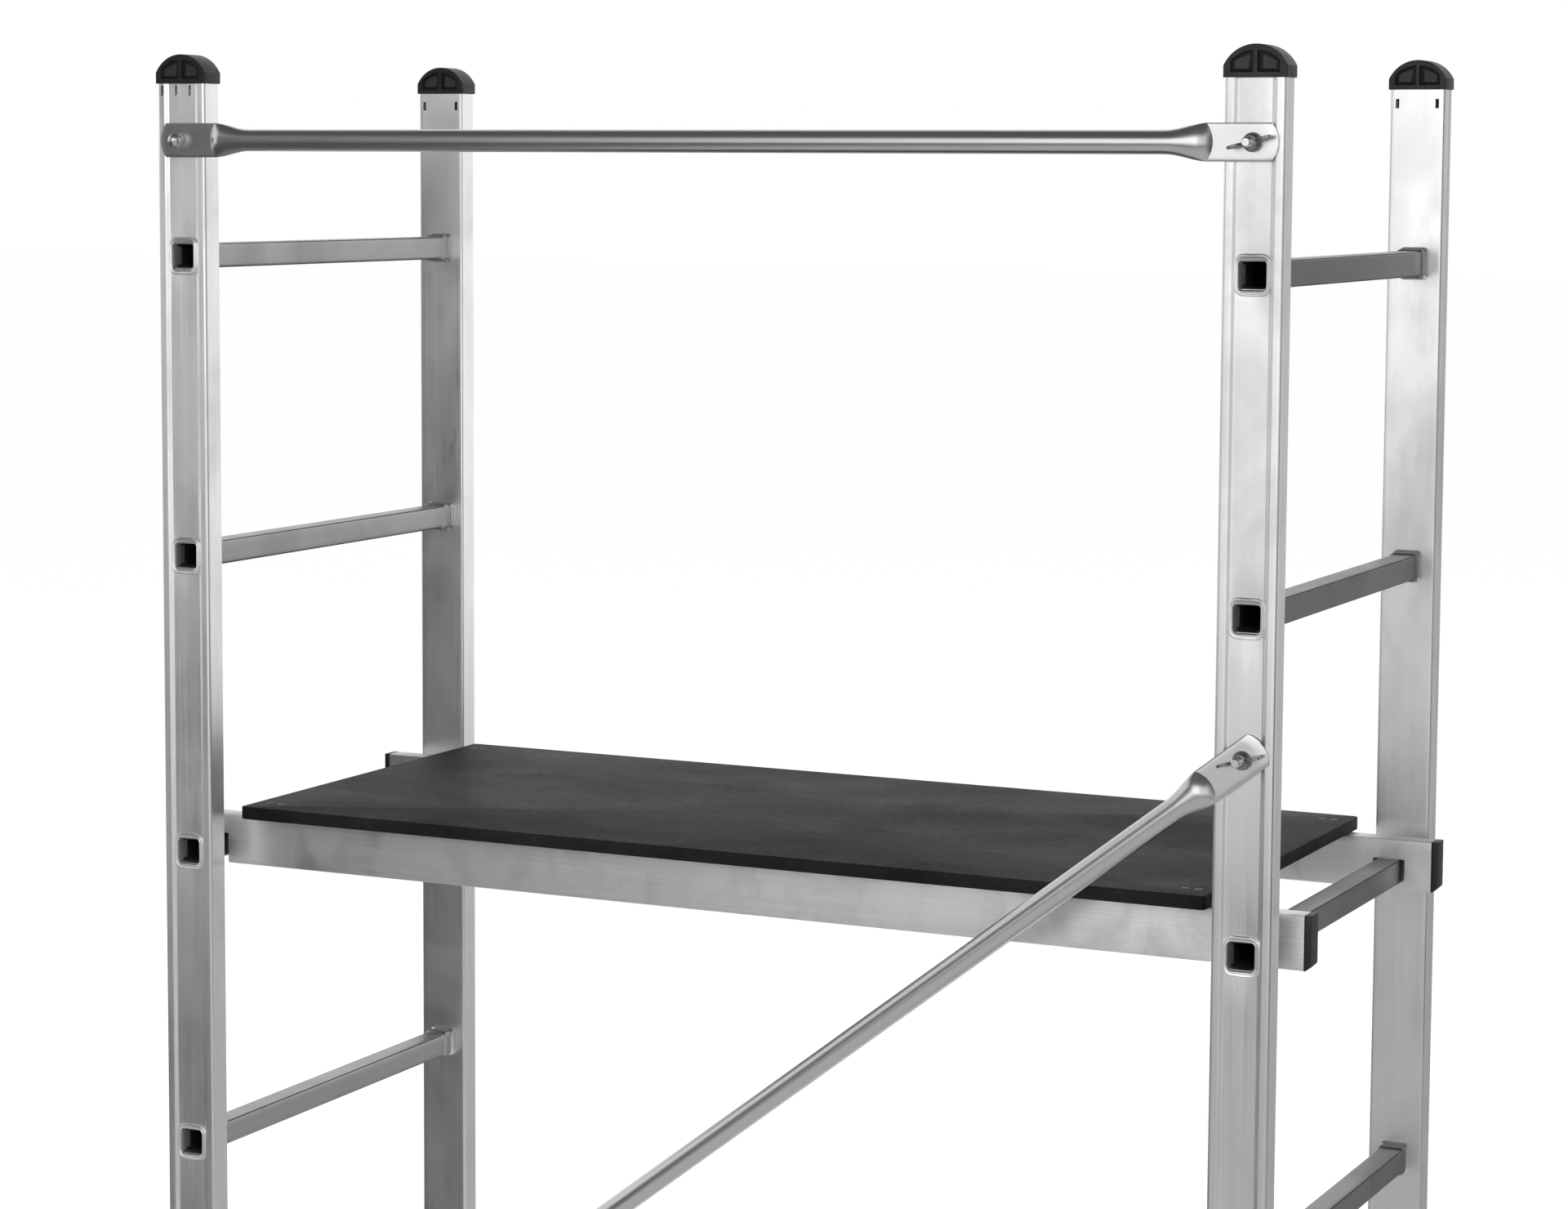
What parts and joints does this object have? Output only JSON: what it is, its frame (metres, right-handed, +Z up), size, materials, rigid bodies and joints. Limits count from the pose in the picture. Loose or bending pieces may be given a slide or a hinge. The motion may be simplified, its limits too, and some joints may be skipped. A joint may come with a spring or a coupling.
{
  "type": "mobile tower scaffold",
  "caption": "Low mobile tower scaffold: ladder frames on braked castor beams, hooked-on black deck, bolted guardrail and diagonal brace.",
  "frame": {"origin": "on the floor, under the middle of the tower", "axes": "+X along the tower towards the end with the wing nuts, -Y towards the guardrail side, +Z up"},
  "size_m": [1.132, 1.0338, 1.9281],
  "materials": {
    "stile": "brushed, with light handling marks",
    "rung": "mill finish, dull",
    "tube": "drawn tube, satin",
    "deck_rail": "mill finish",
    "beam": "mill finish",
    "zinc": "bright zinc plating",
    "board": "black phenolic film on plywood, fine non-slip print",
    "cap_plastic": "moulded, slightly glossy",
    "hub_plastic": "moulded nylon",
    "tyre_rubber": "grey non-marking rubber",
    "pedal": "black powder coat"
  },
  "bodies": {
    "frame": {"stile_left_front": "stile", "stile_left_rear": "stile", "stile_right_front": "stile", "stile_right_rear": "stile", "rung_left_1": "rung", "rung_left_2": "rung", "rung_left_3": "rung", "rung_left_4": "rung", "rung_left_5": "rung", "rung_left_6": "rung", "rung_right_1": "rung", "rung_right_2": "rung", "rung_right_3": "rung", "rung_right_4": "rung", "rung_right_5": "rung", "rung_right_6": "rung", "cap_left_front": "cap_plastic", "cap_left_rear": "cap_plastic", "cap_right_front": "cap_plastic", "cap_right_rear": "cap_plastic", "guardrail": "tube", "diagonal_brace": "tube", "rail_bolts": "zinc", "cap_nuts": "zinc", "fixed_washers": "zinc", "base_beam_left": "beam", "base_beam_right": "beam", "base_beam_plugs": "cap_plastic", "foot_bolts": "zinc", "castor_stems": "zinc"},
    "platform": {"platform_board": "board", "platform_rail_front": "deck_rail", "platform_rail_rear": "deck_rail", "platform_rail_plugs": "cap_plastic", "platform_cross_members": "deck_rail", "platform_rivets": "zinc"},
    "guardrail_washer": {"guardrail_washer": "zinc"},
    "guardrail_wing_nut": {"guardrail_wing_nut": "zinc"},
    "brace_washer": {"brace_washer": "zinc"},
    "brace_wing_nut": {"brace_wing_nut": "zinc"},
    "castor_left_front": {"fork_left_front": "zinc", "axle_left_front": "zinc"},
    "wheel_left_front": {"hub_left_front": "hub_plastic", "tyre_left_front": "tyre_rubber"},
    "brake_left_front": {"brake_left_front": "pedal"},
    "castor_left_rear": {"fork_left_rear": "zinc", "axle_left_rear": "zinc"},
    "wheel_left_rear": {"hub_left_rear": "hub_plastic", "tyre_left_rear": "tyre_rubber"},
    "brake_left_rear": {"brake_left_rear": "pedal"},
    "castor_right_front": {"fork_right_front": "zinc", "axle_right_front": "zinc"},
    "wheel_right_front": {"hub_right_front": "hub_plastic", "tyre_right_front": "tyre_rubber"},
    "brake_right_front": {"brake_right_front": "pedal"},
    "castor_right_rear": {"fork_right_rear": "zinc", "axle_right_rear": "zinc"},
    "wheel_right_rear": {"hub_right_rear": "hub_plastic", "tyre_right_rear": "tyre_rubber"},
    "brake_right_rear": {"brake_right_rear": "pedal"}
  },
  "joints": [
    {"name": "platform_lift", "type": "slide", "parent": "frame", "child": "platform", "axis": [0, 0, 1], "range_m": [0, 0.18]},
    {"name": "guardrail_washer_slide", "type": "slide", "parent": "frame", "child": "guardrail_washer", "axis": [0, -1, 0], "range_m": [0, 0.005]},
    {"name": "guardrail_wing_nut_turn", "type": "hinge", "parent": "guardrail_washer", "child": "guardrail_wing_nut", "pos_m": [0.52, -0.2496, 1.849], "axis": [0, -1, 0], "range_deg": [0, 1440]},
    {"name": "brace_washer_slide", "type": "slide", "parent": "frame", "child": "brace_washer", "axis": [0, -1, 0], "range_m": [0, 0.005]},
    {"name": "brace_wing_nut_turn", "type": "hinge", "parent": "brace_washer", "child": "brace_wing_nut", "pos_m": [0.52, -0.2496, 1.346], "axis": [0, -1, 0], "range_deg": [0, 1440]},
    {"name": "swivel_left_front", "type": "hinge", "parent": "frame", "child": "castor_left_front", "pos_m": [-0.52, -0.395, 0.14], "axis": [0, 0, 1], "continuous": true},
    {"name": "roll_left_front", "type": "hinge", "parent": "castor_left_front", "child": "wheel_left_front", "pos_m": [-0.52, -0.433, 0.0625], "axis": [1, 0, 0], "continuous": true},
    {"name": "brake_left_front", "type": "hinge", "parent": "castor_left_front", "child": "brake_left_front", "pos_m": [-0.52, -0.471, 0.124], "axis": [1, 0, 0], "range_deg": [0, 15]},
    {"name": "swivel_left_rear", "type": "hinge", "parent": "frame", "child": "castor_left_rear", "pos_m": [-0.52, 0.395, 0.14], "axis": [0, 0, 1], "continuous": true},
    {"name": "roll_left_rear", "type": "hinge", "parent": "castor_left_rear", "child": "wheel_left_rear", "pos_m": [-0.52, 0.433, 0.0625], "axis": [1, 0, 0], "continuous": true},
    {"name": "brake_left_rear", "type": "hinge", "parent": "castor_left_rear", "child": "brake_left_rear", "pos_m": [-0.52, 0.471, 0.124], "axis": [-1, 0, 0], "range_deg": [0, 15]},
    {"name": "swivel_right_front", "type": "hinge", "parent": "frame", "child": "castor_right_front", "pos_m": [0.52, -0.395, 0.14], "axis": [0, 0, 1], "continuous": true},
    {"name": "roll_right_front", "type": "hinge", "parent": "castor_right_front", "child": "wheel_right_front", "pos_m": [0.52, -0.433, 0.0625], "axis": [1, 0, 0], "continuous": true},
    {"name": "brake_right_front", "type": "hinge", "parent": "castor_right_front", "child": "brake_right_front", "pos_m": [0.52, -0.471, 0.124], "axis": [1, 0, 0], "range_deg": [0, 15]},
    {"name": "swivel_right_rear", "type": "hinge", "parent": "frame", "child": "castor_right_rear", "pos_m": [0.52, 0.395, 0.14], "axis": [0, 0, 1], "continuous": true},
    {"name": "roll_right_rear", "type": "hinge", "parent": "castor_right_rear", "child": "wheel_right_rear", "pos_m": [0.52, 0.433, 0.0625], "axis": [1, 0, 0], "continuous": true},
    {"name": "brake_right_rear", "type": "hinge", "parent": "castor_right_rear", "child": "brake_right_rear", "pos_m": [0.52, 0.471, 0.124], "axis": [-1, 0, 0], "range_deg": [0, 15]}
  ],
  "couplings": [
    {"joint": "guardrail_wing_nut_turn", "follows": "guardrail_washer_slide", "rad_per_m": 5026.5},
    {"joint": "brace_wing_nut_turn", "follows": "brace_washer_slide", "rad_per_m": 5026.5}
  ]
}
